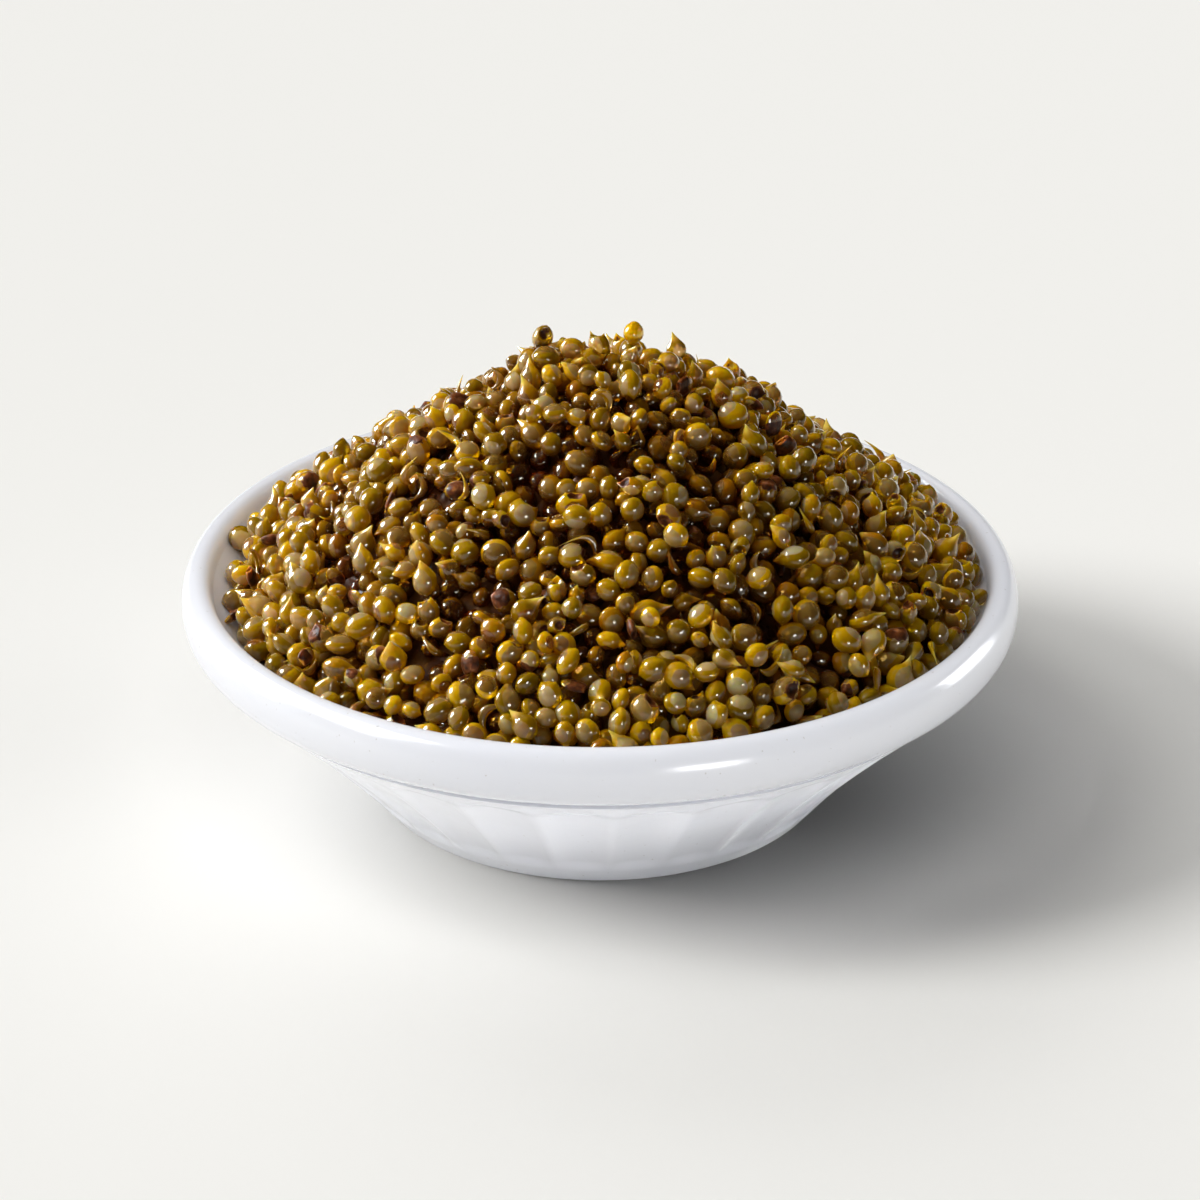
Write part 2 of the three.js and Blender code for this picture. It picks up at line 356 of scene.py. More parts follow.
def makeDish():
    outline = dishOutline()
    rings = outline[1:-1]
    angles = anglesRound(dish["sides"])
    radius = np.repeat(rings[:, :1], dish["sides"], axis=1)
    height = np.repeat(rings[:, 1:], dish["sides"], axis=1)
    onFlank = (height < dish["ledgeHeight"] - flutes["collar"]) & (height > dish["flankFrom"])
    outside = onFlank & (radius > flankRadius(height) - 0.01)  # not the wall inside
    radius = radius - np.where(outside, fluteScoop(angles[None, :], height), 0)
    wall = np.stack([radius * np.sin(angles), -radius * np.cos(angles), height], -1).reshape(-1, 3)
    points = np.vstack([[(0, 0, outline[0][1])], wall, [(0, 0, outline[-1][1])]])
    return meshPiece("porcelain_dish", points, ringFaces(len(rings), dish["sides"]), porcelainMaterial())


# the heap's outline, and the core that the seeds lie on

heap = {
    "radius": 29.6,
    "edgeHeight": 17.4,
    "peak": 37.8,  # where the cone's sides would meet
    "crown": 36.3,  # the top is rounded off at this height
    "crownSoftness": 0.45,
    "sideCurve": (1.252, 0.819),
    "lean": 0.6,
    # place, rise and reach of each lump or dip
    "lumps": [
        (-5.0, 3.4, 2.7, 2.2), (-7.6, 4.6, 1.4, 1.5), (0.0, 3.2, 0.8, 1.8), (-9.0, 9.4, -0.8, 2.0),
        (11.5, 9.5, 0.5, 2.5), (15.2, 13.4, -1.3, 2.2), (18.6, 13.6, 0.4, 2.2), (-17.5, -9.0, 0.6, 4.0),
        (9.0, -14.0, 0.5, 4.5), (-3.0, -12.5, -0.5, 3.5), (-17.4, 10.4, 1.3, 3.0), (-27.0, 9.5, 1.1, 5.5),
        (25.0, 14.0, 0.3, 5.0),
    ],
}

core = {
    "depth": 3.5,  # below the heap's outline
    "rows": 60,
    "rowCrowding": 0.9,  # below 1 the rows stand closer together at the rim
    "sides": 200,
    "shrink": 0.96,  # the outline is read this much nearer the middle
    "bump": 0.55,
    "bumpPitch": 1.9,
    "edgeHeight": 15.6,
    "edgeFrom": 0.9,  # share of the way out where the core starts to level off
    "least": 14.5,
    "gap": 0.05,  # to the wall at the edge, and three times that below
    # heights and radii of the rows down the dish's inside
    "wallRows": [(10.0, wallRadius(10.0)), dish["wallFoot"][::-1], (4.2, dish["floorEdge"][0])],
    "floor": 3.6,
    # painted shade: the core's near-black browns stand in for the shade deep between the seeds
    "tones": [(0.35, (0.012, 0.002, 0.0003)), (0.55, (0.030, 0.008, 0.001)), (0.7, (0.060, 0.024, 0.003))],
    "toneNoise": (420.0, 3.0),
    "roughness": (0.3, 0.7, 0.25, 0.45),
    "specular": 0.15,
    "bumpNoise": (900.0, 3.0),
    "bumpHeight": (0.5, 0.0004),
}


def heapHeight(x, y):
    out = np.minimum(np.hypot(x - heap["lean"], y) / heap["radius"], 1)
    first, second = heap["sideCurve"]
    cone = heap["edgeHeight"] + (heap["peak"] - heap["edgeHeight"]) * (1 - out ** first) ** second
    soft = heap["crownSoftness"]
    height = cone - soft * np.log1p(np.exp((cone - heap["crown"]) / soft))
    for lumpX, lumpY, rise, reach in heap["lumps"]:
        height = height + rise * np.exp(-((x - lumpX) ** 2 + (y - lumpY) ** 2) / reach ** 2)
    return height


def heapNormal(x, y, step=0.4):
    slopeX = (heapHeight(x + step, y) - heapHeight(x - step, y)) / (2 * step)
    slopeY = (heapHeight(x, y + step) - heapHeight(x, y - step)) / (2 * step)
    normal = np.stack([-slopeX, -slopeY, np.ones_like(slopeX)], -1)
    return normal / np.linalg.norm(normal, axis=-1, keepdims=True)


def coreMaterial():
    material, make, shader = newMaterial("seedMassDeep")
    # painted shade: the core is coloured near black, for the shade under the seeds
    place = make.objectPlace()
    patch = make.noise(place, *core["toneNoise"])
    make.feedAll(shader, {
        "Base Color": make.ramp(patch, core["tones"]),
        "Roughness": make.span(patch, *core["roughness"]),
        "Specular IOR Level": core["specular"],
        "Normal": make.bump(make.noise(place, *core["bumpNoise"]), *core["bumpHeight"]),
    })
    return material


def makeCore():
    # rows of corners from the crown out to the wall, then down the dish's inside to its floor
    out = np.linspace(0, 1, core["rows"])[1:] ** core["rowCrowding"]
    angles = anglesRound(core["sides"])
    radius = out[:, None] * (wallRadius(core["edgeHeight"]) - core["gap"])
    x, y = radius * np.cos(angles), radius * np.sin(angles)
    height = heapHeight(x * core["shrink"], y * core["shrink"]) - core["depth"] / heapNormal(x, y)[..., 2]
    ripple = np.sin(x * 2 * math.pi / core["bumpPitch"]) * np.sin(y * 2 * math.pi / core["bumpPitch"] + x)
    height = height + core["bump"] * ripple * (1 - out[:, None] ** 8)
    edge = smoothStep(out[:, None], core["edgeFrom"], 1.0)
    height = np.maximum(height * (1 - edge) + core["edgeHeight"] * edge, core["least"])
    rows = [np.stack([x, y, height], -1).reshape(-1, 3)]
    for low, wall in core["wallRows"]:
        r = wall - core["gap"] * 3
        rows.append(np.stack([r * np.cos(angles), r * np.sin(angles), np.full_like(angles, low)], -1))
    crown = (0, 0, float(heapHeight(0.0, 0.0)) - core["depth"])
    points = np.vstack([[crown], *rows, [(0, 0, core["floor"])]])
    faces = ringFaces(len(out) + len(core["wallRows"]), core["sides"])
    return meshPiece("heap_core", points, [face[::-1] for face in faces], coreMaterial())


# seeds: where they lie

packing = {
    # the seeds that stand up alone: two on the crown, one on the shoulder
    "loneSeeds": [(2.6, 2.6, 37.1), (2.4, 2.8, 35.5), (13.1, 9.6, 29.3)],
    "loneKinds": ("plump_seeds", "plump_seeds", "tailed_seeds"),
    "count": 2950,
    "shell": 4.5,  # seeds fill the heap down to this depth
    "topDepth": 2.8,  # seeds above this depth have the fine shapes
    "firstDepth": 0.8,  # no seed starts nearer the surface
    "field": 30,  # half the square that the random places are drawn from
    "steepest": 1.5,  # every place is kept where the side is this much longer than its base
    "halfLength": (0.77, 1.15),
    "proud": 0.8,  # how far a seed may stand out of the surface
    "proudShare": 0.95,  # of a seed's half length, counted as its height
    "ragged": 2.0,  # how far below that a seed may have to stay
    "raggedPower": 1.3,
    "calm": (20.0, 26.0, 0.9),  # between these radii the raggedness fades by this share
    "bottomGap": 0.4,  # between the deepest place for a seed and the bottom of the shell
    "wallGap": (1.02, 0.1),  # share of a seed's half length, and a gap, kept to the dish's wall
    "dimples": 120,  # soft hollows and knolls, with their depths and widths
    "dimpleField": 29,
    "dimpleDepth": (-0.5, 1.5),
    "dimpleReach": (1.3, 2.8),
    "press": 0.9,  # neighbours may come this close, as a share of their sizes
    "push": 0.35,  # share of an overlap that a round takes away from each side
    "rounds": 90,
    "searchEvery": 6,  # rounds between two searches for neighbours
    "searchReach": 1.15,  # how much further than two touching seeds a search looks
}


def depthBelow(points):
    x, y, z = points.T
    return (heapHeight(x, y) - z) * heapNormal(x, y)[:, 2]


def makeDimples():
    count = packing["dimples"]
    out = packing["dimpleField"] * np.sqrt(rng.uniform(0, 1, count))
    turn = rng.uniform(0, 2 * math.pi, count)
    depths = rng.uniform(*packing["dimpleDepth"], count)
    return out * np.cos(turn), out * np.sin(turn), depths, rng.uniform(*packing["dimpleReach"], count)


def dimpleDepth(points, dimples):
    x, y, depth, reach = dimples
    apart = (points[:, :1] - x) ** 2 + (points[:, 1:2] - y) ** 2
    return (depth * np.exp(-apart / reach ** 2)).sum(1)


def keepInside(points, size, least, dimples):
    # under the heap's surface, above the core and clear of the dish's wall
    normal = heapNormal(points[:, 0], points[:, 1])
    depth = depthBelow(points)
    near, far, share = packing["calm"]
    shell = packing["shell"]
    rough = 1 - share * smoothStep(np.hypot(points[:, 0], points[:, 1]), near, far)
    top = size * packing["proudShare"] - packing["proud"]
    lower = np.clip(least + dimpleDepth(points, dimples), 0, shell - packing["bottomGap"] - top)
    least = top + lower * rough
    move = np.where(depth < least, depth - least, np.where(depth > shell, depth - shell, 0))
    points = points + normal * move[:, None]
    radius = np.hypot(points[:, 0], points[:, 1])
    sizeShare, gap = packing["wallGap"]
    room = wallRadius(points[:, 2]) - size * sizeShare - gap
    inwards = np.minimum(1, room / np.maximum(radius, 1e-6))
    return np.column_stack([points[:, :2] * inwards[:, None], points[:, 2]])


def closePairs(points, reach):
    tree = kdtree.KDTree(len(points))
    for i, point in enumerate(points):
        tree.insert(point, i)
    tree.balance()
    pairs = [(i, j) for i, point in enumerate(points) for _, j, _ in tree.find_range(point, reach) if i < j]
    return np.array(pairs)


def scatterPlaces(count):
    # random places in the shell, more of them where the side is steep
    points = np.zeros((0, 3))
    while len(points) < count:
        x, y = rng.uniform(-packing["field"], packing["field"], (2, count))
        inside = np.hypot(x, y) < heap["radius"]
        steep = rng.uniform(0, packing["steepest"], count) < 1 / heapNormal(x, y)[:, 2]
        x, y = x[inside & steep], y[inside & steep]
        depth = rng.uniform(packing["firstDepth"], packing["shell"], len(x))
        z = heapHeight(x, y) - depth / heapNormal(x, y)[:, 2]
        points = np.vstack([points, np.column_stack([x, y, z])])
    return points[:count]


def packSeeds():
    # neighbours push each other apart, and none leaves the shell
    count = packing["count"]
    size = rng.uniform(*packing["halfLength"], count)
    least = packing["ragged"] * rng.uniform(0, 1, count) ** packing["raggedPower"]
    points = scatterPlaces(count)
    dimples = makeDimples()
    for turn in range(packing["rounds"]):
        if turn % packing["searchEvery"] == 0:
            pairs = closePairs(points, 2 * packing["halfLength"][1] * packing["searchReach"])
        a, b = pairs.T
        apart = points[a] - points[b]
        distance = np.maximum(np.linalg.norm(apart, axis=1), 1e-6)
        overlap = (size[a] + size[b]) * packing["press"] - distance
        push = apart / distance[:, None] * np.maximum(overlap, 0)[:, None] * packing["push"]
        np.add.at(points, a, push)
        np.add.at(points, b, -push)
        points = keepInside(points, size, least, dimples)
        points[:len(packing["loneSeeds"])] = packing["loneSeeds"]
    return points, size


# seeds: what they look like. Each kind has a number of shapes, picked at random.

seedKinds = {
    "plump_seeds": {
        "share": 0.29, "shapes": 20, "wide": (0.93, 1.04), "flat": (0.84, 0.97), "tail": (0.0, 0.05),
        "notch": (0.0, 0.04), "horns": (0.0, 0.0), "hull": (0.0, 0.0),
    },
    "flat_seeds": {
        "share": 0.15, "shapes": 12, "wide": (0.88, 1.0), "flat": (0.66, 0.8), "tail": (0.0, 0.15),
        "notch": (0.05, 0.2), "horns": (0.0, 0.1), "hull": (0.0, 0.35),
    },
    "tailed_seeds": {
        "share": 0.26, "shapes": 24, "wide": (0.84, 0.98), "flat": (0.76, 0.92), "tail": (0.4, 0.85),
        "notch": (0.0, 0.1), "horns": (0.0, 0.0), "hull": (0.0, 0.2),
    },
    "notched_seeds": {
        "share": 0.19, "shapes": 22, "wide": (0.92, 1.04), "flat": (0.8, 0.94), "tail": (0.0, 0.0),
        "notch": (0.4, 0.7), "horns": (0.1, 0.45), "hull": (0.3, 1.0),
    },
    "hulled_seeds": {
        "share": 0.07, "shapes": 10, "wide": (0.85, 1.0), "flat": (0.74, 0.9), "tail": (0.0, 0.2),
        "notch": (0.1, 0.4), "horns": (0.0, 0.2), "hull": (1.0, 1.9),
    },
    "germ_curls": {
        "share": 0.06, "shapes": 14, "wide": (0.26, 0.36), "flat": (0.24, 0.32), "tail": (0.3, 0.6),
        "notch": (0.0, 0.1), "horns": (0.0, 0.0), "hull": (0.0, 0.0), "curl": 0.7,
    },
    "husk_flakes": {
        "share": 0.05, "shapes": 10, "wide": (0.6, 0.9), "flat": (0.22, 0.36), "tail": (0.0, 0.1),
        "notch": (0.4, 0.7), "horns": (0.0, 0.1), "hull": (3.0, 4.0),
    },
}
underKind = {**seedKinds["flat_seeds"], "shapes": 18, "hull": (-0.5, 0.9)}

# lengths are shares of a seed's half length
seedMesh = {
    # corners round, and angles from the germ's end
    "fine": (14, (0, 10, 20, 29, 38, 48, 62, 80, 99, 119, 140, 160, 180)),
    "coarse": (9, (0, 20, 42, 68, 96, 126, 154, 180)),
    # the germ stands out round the edge, with a groove to either side: height, place and width
    "germRise": (0.05, 0.32),
    "germGroove": (0.045, 0.52, 0.13),
    "tailFrom": 0.45,
    "tailSlant": (0.2, 0.9),
    "tailTwist": 0.25,
    "tailTaper": (0.8, 1.4),
    "notchReach": 0.5,  # radians
    "hornAngle": 0.66,
    "hornWidth": (0.14, 0.2),
    "hornLean": 0.25,
    "weakHorn": 0.2,  # the least height of the second horn, as a share of the first
    "wobble": 0.06,
}


def bell(value, middle, width):
    return np.exp(-((value - middle) / width) ** 2)


def seedShape(detail, wide, flat, tail, notch, horns, curl):
    # a round seed with its germ round its edge: +X is the germ's end and Z the short way
    sides, polar = seedMesh[detail]
    polar = np.radians(polar)
    around = anglesRound(sides)
    belt = polar[1:-1, None]
    belt = np.stack([np.cos(belt) * np.ones_like(around), np.sin(belt) * np.cos(around),
                     np.sin(belt) * np.sin(around)], -1).reshape(-1, 3)
    unit = np.vstack([[(1, 0, 0)], belt, [(-1, 0, 0)]])
    level = np.abs(unit[:, 2])
    rise, riseWidth = seedMesh["germRise"]
    sink, sinkPlace, sinkWidth = seedMesh["germGroove"]
    swell = 1 + rise * bell(level, 0, riseWidth) - sink * bell(level, sinkPlace, sinkWidth)
    points = unit * swell[:, None] * np.array([1.0, wide, flat])
    # the tail leaves the seed at a slant, in the plane of the germ
    reach = np.clip((unit[:, 0] - seedMesh["tailFrom"]) / (1 - seedMesh["tailFrom"]), 0, 1)
    slant = rng.uniform(*seedMesh["tailSlant"])
    thin, thinPace = seedMesh["tailTaper"]
    points[:, 1:] *= (1 - thin * min(tail * thinPace, 1) * reach ** 2)[:, None]
    twist = rng.uniform(-seedMesh["tailTwist"], seedMesh["tailTwist"])
    points += tail * (reach ** 3)[:, None] * np.array([1, slant, twist])
    # the notch between the germ's two ends, which stand up as horns
    near = np.arccos(np.clip(unit[:, 0], -1, 1))
    points[:, 0] -= notch * np.exp(-(near / seedMesh["notchReach"]) ** 4)
    along, across = seedMesh["hornWidth"]
    lip = np.exp(-((near - seedMesh["hornAngle"]) / along) ** 2 - (level / across) ** 2)
    sideShare = np.where(unit[:, 1] > 0, 1.0, rng.uniform(seedMesh["weakHorn"], 1.0))
    lean = np.array([1, seedMesh["hornLean"], 0.0])
    points += (horns * lip * sideShare)[:, None] * lean * np.sign(unit + 1e-9)
    points[:, 1] += curl * points[:, 0] ** 2
    wobble = rng.uniform(-1, 1, (3, 3)) * seedMesh["wobble"]
    points *= 1 + (unit @ wobble * unit).sum(1, keepdims=True)
    stick = np.clip(tail * reach ** 3 + horns * lip * sideShare, 0, 1)
    return points, ringFaces(len(polar) - 2, sides), unit, stick


def shapeCollection(name, kind, detail):
    shapes = bpy.data.collections.new(name)
    for i in range(kind["shapes"]):
        draw = {key: rng.uniform(*kind[key]) for key in ("wide", "flat", "tail", "notch", "horns")}
        points, faces, unit, stick = seedShape(detail, **draw, curl=kind.get("curl", 0.0))
        mesh = smoothMesh(f"{name}_{i:02d}", points, [face[::-1] for face in faces])
        addAttribute(mesh, "seedCoord", "FLOAT_VECTOR", unit)
        addAttribute(mesh, "seedStick", "FLOAT", stick)
        shapes.objects.link(bpy.data.objects.new(mesh.name, mesh))
    return shapes


seedLook = {
    "mottleNoise": (1400.0, 2.0),
    "raggedNoise": (2600.0, 3.0),
    "wrinkleNoise": (2200.0, 2.0),
    "germWidth": (0.40, 0.76),  # share of the seed's thickness, from narrow to wide
    "germRagged": 0.2,
    "germSoft": 0.06,
    # the germ's colour, from olive to gold and amber, and the seed's pale clouded middle
    "germ": [(0.0, (0.24, 0.145, 0.0)), (0.3, (0.42, 0.260, 0.0)), (0.6, (0.54, 0.335, 0.0)),
             (0.88, (0.72, 0.465, 0.0)), (1.0, (0.32, 0.12, 0.0))],
    "middle": [(0.0, (0.42, 0.23, 0.03)), (0.35, (0.80, 0.59, 0.26)), (0.7, (1.0, 0.83, 0.54)),
               (1.0, (0.42, 0.15, 0.01))],
    "tail": (0.98, 0.66, 0.14, 1),
    "tailFrom": (0.06, 0.40),
    # painted shade: seeds are coloured darker and redder the deeper they lie, for the shade that falls
    # between them, from the first depth to the second
    "paintedShade": [(0.0, (1, 1, 1)), (0.45, (0.70, 0.52, 0.2)), (1.0, (0.15, 0.032, 0.0))],
    "paintedShadeFrom": (0.2, 2.7),
    # remains of the dark hull in the notch
    "hull": [(0.35, (0.022, 0.006, 0.002)), (0.6, (0.10, 0.028, 0.008)), (0.75, (0.26, 0.11, 0.04))],
    "hullRagged": 0.7,
    "hullReach": 0.42,
    "hullFrom": (1.06, 1.18),
    "noHull": 0.02,
    "roughness": (0.13, 0.38),  # of the skin and of the hull
    "coat": (1.0, 0.05),
    "clear": (0.80, 0.60),  # transmission of the middle and of the germ
    "hullWrinkles": 3.0,
    "bump": (0.25, 0.00015),
    "shader": {
        "IOR": 1.42,
        "Specular IOR Level": 0.2,
        "Subsurface Weight": 0.9,
        "Subsurface Radius": (1.0, 0.75, 0.2),
        "Subsurface Scale": 0.0009,
        "Coat Roughness": 0.06,
        "Coat Tint": (1.0, 0.95, 0.76, 1),
    },
}


def seedMaterial():
    material, make, shader = newMaterial("cookedSeed")

    def named(name, output="Fac"):
        return make.add("ShaderNodeAttribute", attribute_name=name).outputs[output]

    tint, other, hullShare = named("seedTint"), named("seedOther"), named("hullShare")
    place = make.objectPlace()
    axes = make.add("ShaderNodeSeparateXYZ", {0: named("seedCoord", "Vector")}).outputs
    ragged = make.maths("SUBTRACT", make.noise(place, *seedLook["raggedNoise"]), 0.5)
    # the germ is a band round the seed's edge
    level = make.maths("ABSOLUTE", axes["Z"])
    edge = make.maths("ADD", level, make.times(ragged, seedLook["germRagged"]))
    width = make.span(other, 0.0, 1.0, *seedLook["germWidth"])
    soft = seedLook["germSoft"]
    band = make.span(make.maths("SUBTRACT", width, edge), -soft, soft)
    skin = make.blend(band, make.ramp(other, seedLook["middle"]), make.ramp(tint, seedLook["germ"]))
    skin = make.blend(make.span(named("seedStick"), *seedLook["tailFrom"]), skin, seedLook["tail"])
    # painted shade: the deeper a seed lies, the darker and redder its colour
    skin = make.blend(1.0, skin, make.ramp(named("seedDeep"), seedLook["paintedShade"]), "MULTIPLY")
    # the hull covers the germ's end, the further the larger its share
    reach = make.maths("ADD", axes["X"], make.times(ragged, seedLook["hullRagged"]))
    reach = make.maths("ADD", reach, make.times(hullShare, seedLook["hullReach"]))
    hasHull = make.maths("GREATER_THAN", hullShare, seedLook["noHull"])
    hull = make.times(make.span(reach, *seedLook["hullFrom"]), hasHull)
    hullColour = make.ramp(make.noise(place, *seedLook["mottleNoise"]), seedLook["hull"])
    clear = make.span(band, 0.0, 1.0, *seedLook["clear"])
    wrinkle = make.times(hull, make.times(ragged, seedLook["hullWrinkles"]))
    wrinkle = make.maths("ADD", make.noise(place, *seedLook["wrinkleNoise"]), wrinkle)
    make.feedAll(shader, {
        "Base Color": make.blend(hull, skin, hullColour),
        "Roughness": make.span(hull, 0.0, 1.0, *seedLook["roughness"]),
        "Coat Weight": make.span(hull, 0.0, 1.0, *seedLook["coat"]),
        "Transmission Weight": make.times(clear, make.maths("SUBTRACT", 1.0, hull)),
        "Normal": make.bump(wrinkle, *seedLook["bump"]),
        **seedLook["shader"],
    })
    return material


def scatterTree():
    # one shape on each point, turned at random, with its own tints
    tree = bpy.data.node_groups.new("scatterSeeds", "GeometryNodeTree")
    face = tree.interface
    sockets = {"Geometry": "Geometry", "Shapes": "Collection", "Material": "Material", "Random seed": "Int"}
    for name, kind in sockets.items():
        face.new_socket(name, in_out="INPUT", socket_type="NodeSocket" + kind)
    face.new_socket("Geometry", in_out="OUTPUT", socket_type="NodeSocketGeometry")
    make = NodeMaker(tree)
    given = make.add("NodeGroupInput").outputs

    def usable(sockets, name):
        # a node holds one socket of each name for every kind of value, and only one of them is in use
        return next(socket for socket in sockets if socket.enabled and socket.name == name)

    def drawn(kind, offset, low, high):
        seed = make.add("FunctionNodeIntegerMath", {0: given["Random seed"], 1: offset}).outputs[0]
        node = make.add("FunctionNodeRandomValue", data_type=kind)
        for name, value in (("Min", low), ("Max", high), ("Seed", seed)):
            make.feed(usable(node.inputs, name), value)
        return usable(node.outputs, "Value")

    def named(name, kind):
        node = make.add("GeometryNodeInputNamedAttribute", {"Name": name}, data_type=kind)
        return usable(node.outputs, "Attribute")

    shapes = make.add("GeometryNodeCollectionInfo", {
        "Collection": given["Shapes"], "Separate Children": True, "Reset Children": True}).outputs[0]
    placed = make.add("GeometryNodeInstanceOnPoints", {
        "Points": given["Geometry"], "Instance": shapes, "Pick Instance": True,
        "Instance Index": named("shapeIndex", "INT"), "Scale": named("halfLength", "FLOAT"),
        "Rotation": drawn("FLOAT_VECTOR", 1, (0, 0, 0), (2 * math.pi,) * 3)}).outputs[0]
    for offset, name in enumerate(("seedTint", "seedOther"), start=2):
        store = make.add("GeometryNodeStoreNamedAttribute", {"Geometry": placed, "Name": name},
                         data_type="FLOAT", domain="INSTANCE")
        make.feed(usable(store.inputs, "Value"), drawn("FLOAT", offset, 0.0, 1.0))
        placed = store.outputs[0]
    whole = make.add("GeometryNodeRealizeInstances", {"Geometry": placed}).outputs[0]
    dressed = make.add("GeometryNodeSetMaterial", {"Geometry": whole, "Material": given["Material"]})
    make.add("NodeGroupOutput", {"Geometry": dressed.outputs[0]})
    return tree


def scatter(name, tree, points, halfLength, hullShare, shapes, material, seed):
    # a cloud of points becomes one plain mesh of seeds
    cloud = bpy.data.meshes.new(name + "_points")
    cloud.from_pydata((points * mm).tolist(), [], [])
    addAttribute(cloud, "halfLength", "FLOAT", halfLength * mm)
    addAttribute(cloud, "hullShare", "FLOAT", hullShare)
    addAttribute(cloud, "shapeIndex", "INT", rng.integers(0, len(shapes.objects), len(points)))
    holder = addObject(name + "_points", cloud)
    modifier = holder.modifiers.new("scatter", "NODES")
    modifier.node_group = tree
    sockets = {item.name: item.identifier for item in tree.interface.items_tree if item.in_out == "INPUT"}
    modifier[sockets["Shapes"]] = shapes
    modifier[sockets["Material"]] = material
    modifier[sockets["Random seed"]] = seed
    graph = bpy.context.evaluated_depsgraph_get()
    mesh = bpy.data.meshes.new_from_object(holder.evaluated_get(graph))
    mesh.name = name
    bpy.data.objects.remove(holder)
    corners = np.empty(len(mesh.vertices) * 3)
    mesh.vertices.foreach_get("co", corners)
    # painted shade: how deep each corner lies, which darkens the seeds' colour there
    depth = depthBelow(corners.reshape(-1, 3) / mm)
    addAttribute(mesh, "seedDeep", "FLOAT", smoothStep(depth, *seedLook["paintedShadeFrom"]))
    return addObject(name, mesh)


def makeSeeds():
    material = seedMaterial()
    tree = scatterTree()
    points, size = packSeeds()
    top = depthBelow(points) < packing["topDepth"]
    names = list(seedKinds)
    shares = np.array([kind["share"] for kind in seedKinds.values()])
    choice = rng.choice(len(names), len(points), p=shares / shares.sum())
    choice[:len(packing["loneKinds"])] = [names.index(name) for name in packing["loneKinds"]]
    pieces = []
    for k, (name, kind) in enumerate(seedKinds.items()):
        mine = top & (choice == k)
        hullShare = rng.uniform(*kind["hull"], mine.sum())
        shapes = shapeCollection(name + "_shapes", kind, "fine")
        pieces.append(scatter(name, tree, points[mine], size[mine], hullShare, shapes, material, 10 + k))
    shapes = shapeCollection("under_seed_shapes", underKind, "coarse")
    hullShare = rng.uniform(*underKind["hull"], (~top).sum())
    pieces.append(scatter("under_seeds", tree, points[~top], size[~top], hullShare, shapes, material, 30))
    return pieces


# camera, light and floor

view = {
    "distance": 320.0,
    "elevation": 26.53,
    "turnPoint": 12.0,  # height on the axis that the distance is measured from
    "aim": 15.3,
    "focalLength": 120.4,
    "sensor": 36.0,
    "clipStart": 10.0,
}

floor = {
    "half": 3000.0,
    "level": -0.02,
    "colour": (0.880, 0.871, 0.838, 1),
    "roughness": 0.9,
    # painted shadow: soft dark patches painted into the floor's colour, deepening the dish's shadow where
    # the light thrown down by the dish washes it out, and painted shade on its left where that light glows:
    # middle, reach and depth
    "dips": [((12.0, -4.0, 0.0), 27.0, 0.74), ((-37.0, 5.0, 0.0), 18.0, 0.09)],
}

light = {
    # name: what it lights, elevation and azimuth counter-clockwise from +X, width in degrees, share of
    # full light on level ground
    "suns": {
        "floorKey": ("floor", 31.7, 188.0, 22.0, 0.434),
        "floorHigh": ("floor", 54.4, 187.0, 22.0, 0.160),
        "floorFront": ("floor", 57.8, 263.0, 41.0, 0.252),
        "floorBack": ("floor", 23.6, 112.5, 47.0, 0.107),
        "dishDome": ("dish", 78.0, 185.0, 124.0, 0.69),
        "dishKey": ("dish", 50.0, 200.0, 60.0, 0.09),
        "dishSide": ("dish", 20.0, 168.0, 30.0, 0.15),
        "dishFill": ("dish", 3.0, 315.0, 60.0, 0.016),
        "seedKey": ("seeds", 52.0, 154.0, 56.0, 1.46),
        "seedDome": ("seeds", 90.0, 0.0, 140.0, 0.20),
        "seedSide": ("seeds", 24.0, 190.0, 40.0, 0.52),
    },
    # name: what shows its reflection, direction, distance, width, height, power, colour
    "boxes": {
        "seedGloss": ("seeds", (-0.87, 0.28, 0.42), 600, 260, 360, 10.0, (0.84, 0.93, 1.0)),
        "leftGloss": ("dish", (-0.87, 0.28, 0.42), 600, 380, 520, 6.5, (0.84, 0.93, 1.0)),
        "seedSpark": ("seeds", (0.46, -0.88, 0.06), 700, 200, 170, 1.8, (1.0, 1.0, 1.0)),
        "frontGloss": ("dish", (0.46, -0.88, 0.06), 700, 200, 170, 1.8, (1.0, 1.0, 1.0)),
        "cornerGloss": ("dish", (-0.76, -0.19, 0.62), 600, 330, 330, 3.6, (0.95, 0.98, 1.0)),
        "rightGloss": ("dish", (0.93, 0.36, 0.12), 600, 220, 300, 2.6, (0.95, 0.97, 1.0)),
    },
    # light that a pale table would throw up at the dish's side, from a disc under the floor
    "bounce": {"radius": 20.6, "place": (3.4, -1.9, -0.5), "power": 0.17},
    "sky": 0.045,
    "skyInGloss": 0.25,
}


def makeCamera():
    camera = addObject("camera", bpy.data.cameras.new("camera"))
    camera.data.lens = view["focalLength"]
    camera.data.sensor_width = view["sensor"]
    camera.data.clip_start = view["clipStart"] * mm
    tilt = math.radians(view["elevation"])
    away = math.cos(tilt) * view["distance"]
    up = view["turnPoint"] + math.sin(tilt) * view["distance"]
    camera.location = Vector((0, -away, up)) * mm
    aim = Vector((0, 0, view["aim"])) * mm
    camera.rotation_euler = (aim - camera.location).to_track_quat("-Z", "Y").to_euler()
    bpy.context.scene.camera = camera


def newLamp(name, kind, lit, colour=(1, 1, 1)):
    # a lamp lights one group of pieces, so the floor's shadow and the food's light are set apart
    lamp = addObject(name, bpy.data.lights.new(name, kind))
    lamp.data.color = colour
    lamp.light_linking.receiver_collection = lit
    return lamp


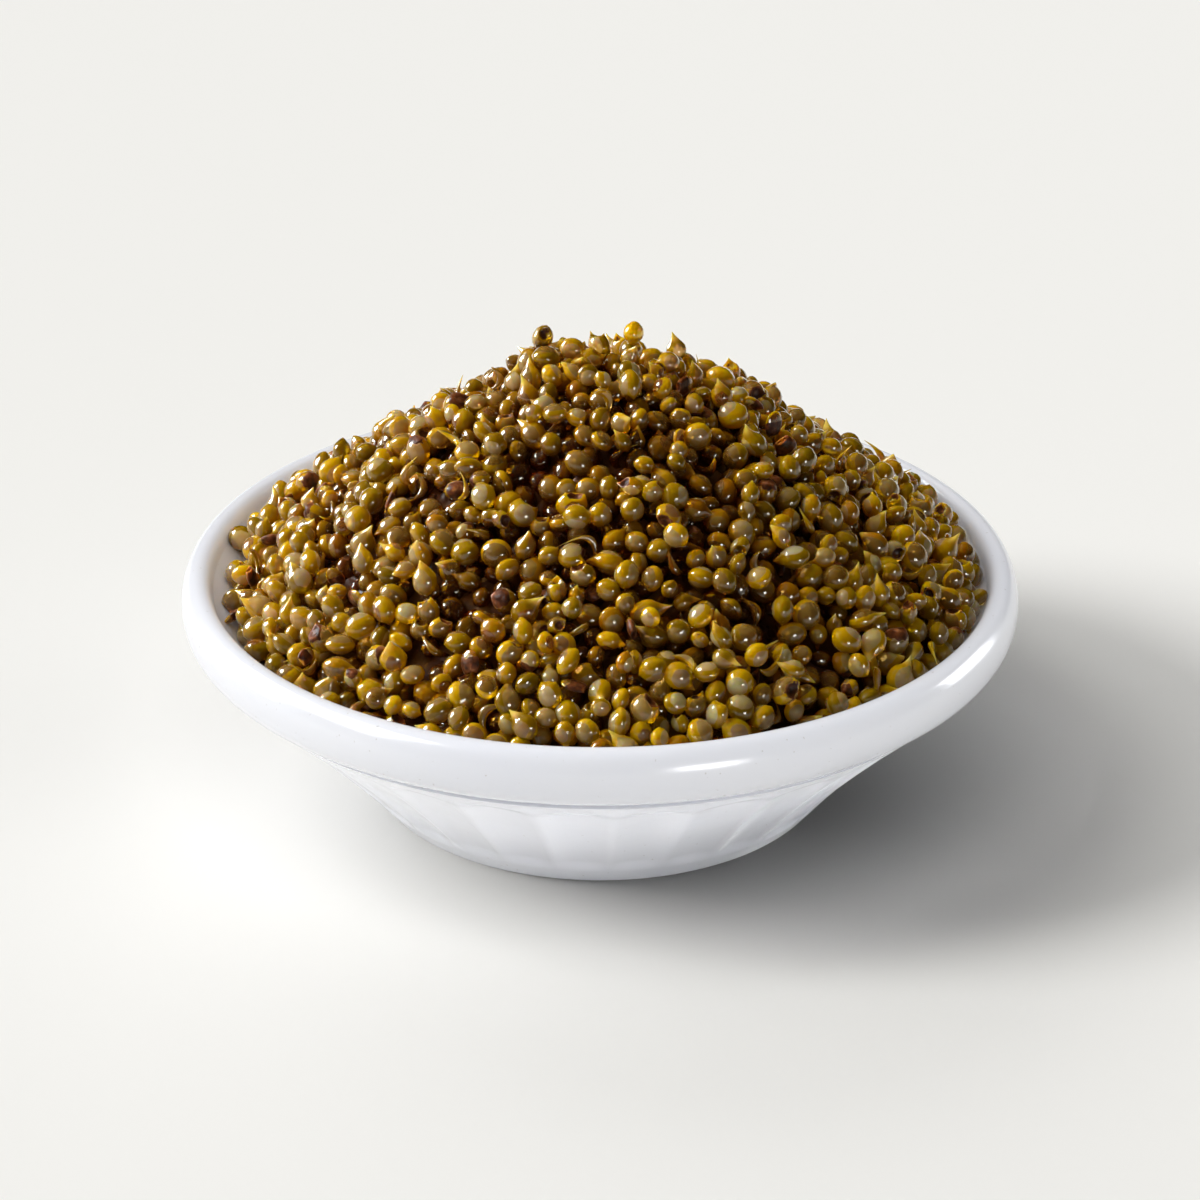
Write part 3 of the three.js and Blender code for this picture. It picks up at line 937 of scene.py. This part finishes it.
def makeSuns(lit):
    for name, (group, elevation, azimuth, width, share) in light["suns"].items():
        sun = newLamp(name, "SUN", lit[group])
        up, side = math.radians(elevation), math.radians(azimuth)
        way = Vector((math.cos(up) * math.cos(side), math.cos(up) * math.sin(side), math.sin(up)))
        sun.rotation_euler = way.to_track_quat("Z", "Y").to_euler()
        sun.data.energy = share * math.pi / math.sin(up)
        sun.data.angle = math.radians(width)
        sun.visible_glossy = False


def makeBoxes(lit):
    for name, (group, way, distance, width, height, power, colour) in light["boxes"].items():
        box = newLamp(name, "AREA", lit[group], colour)
        box.data.shape = "RECTANGLE"
        box.data.size, box.data.size_y = width * mm, height * mm
        box.data.energy = power
        box.location = Vector(way).normalized() * distance * mm + Vector((0, 0, view["turnPoint"] * mm))
        box.rotation_euler = Vector(way).to_track_quat("Z", "Y").to_euler()
        box.visible_diffuse = False


def makeBounce(lit):
    bounce = newLamp("bounce", "AREA", lit["dish"])
    bounce.data.shape = "DISK"
    bounce.data.size = 2 * light["bounce"]["radius"] * mm
    bounce.data.energy = light["bounce"]["power"]
    bounce.location = Vector(light["bounce"]["place"]) * mm
    bounce.rotation_euler = (math.pi, 0, 0)
    bounce.visible_glossy = False
    bounce.visible_camera = False
    bounce.light_linking.blocker_collection = lit["dish"]


def makeSky():
    world = bpy.data.worlds.new("studio")
    bpy.context.scene.world = world
    world.use_nodes = True
    make = NodeMaker(world.node_tree)
    gloss = make.add("ShaderNodeLightPath").outputs["Is Glossy Ray"]
    strength = make.span(gloss, 0.0, 1.0, light["sky"], light["sky"] * light["skyInGloss"])
    make.feedAll(world.node_tree.nodes["Background"], {"Color": (1, 1, 1, 1), "Strength": strength})


def makeFloor():
    material, make, shader = newMaterial("paleFloor")
    place = make.objectPlace()
    paintedShadowTone = 1.0
    # painted shadow: each patch darkens the floor's colour round its middle
    for centre, reach, depth in floor["dips"]:
        ends = {0: place, 1: Vector(centre) * mm}
        away = make.add("ShaderNodeVectorMath", ends, operation="DISTANCE").outputs["Value"]
        away = make.maths("DIVIDE", away, reach * mm)
        fall = make.maths("POWER", math.e, make.times(make.times(away, away), -1.0))
        paintedShadowTone = make.maths("SUBTRACT", paintedShadowTone, make.times(fall, depth))
    make.feedAll(shader, {
        "Base Color": make.blend(paintedShadowTone, (0, 0, 0, 1), floor["colour"]),
        "Roughness": floor["roughness"],
        "Specular IOR Level": 0.0,
    })
    sides = ((-1, -1), (1, -1), (1, 1), (-1, 1))
    corners = [(x * floor["half"], y * floor["half"], floor["level"]) for x, y in sides]
    return meshPiece("floor", corners, [(0, 1, 2, 3)], material)


def litGroup(name, pieces):
    group = bpy.data.collections.new(name)
    for piece in pieces:
        group.objects.link(piece)
    return group


makeCamera()
floorPiece = makeFloor()
bpy.context.scene.view_settings.view_transform = "Standard"
print("the camera and the floor are set")

dishPiece = makeDish()
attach(dishPiece, "root")
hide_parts("dish")
print("the dish is made")

heapPieces = [makeCore(), *makeSeeds()]
for piece in heapPieces:
    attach(piece, "root")
    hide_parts("tonburi_heap")
    print(piece.name, len(piece.data.polygons), "faces")

litPieces = {
    "floor": litGroup("litFloor", [floorPiece]),
    "dish": litGroup("litDish", [dishPiece]),
    "seeds": litGroup("litSeeds", heapPieces),
}
makeSuns(litPieces)
makeBoxes(litPieces)
makeBounce(litPieces)
makeSky()
print("the lights are set")
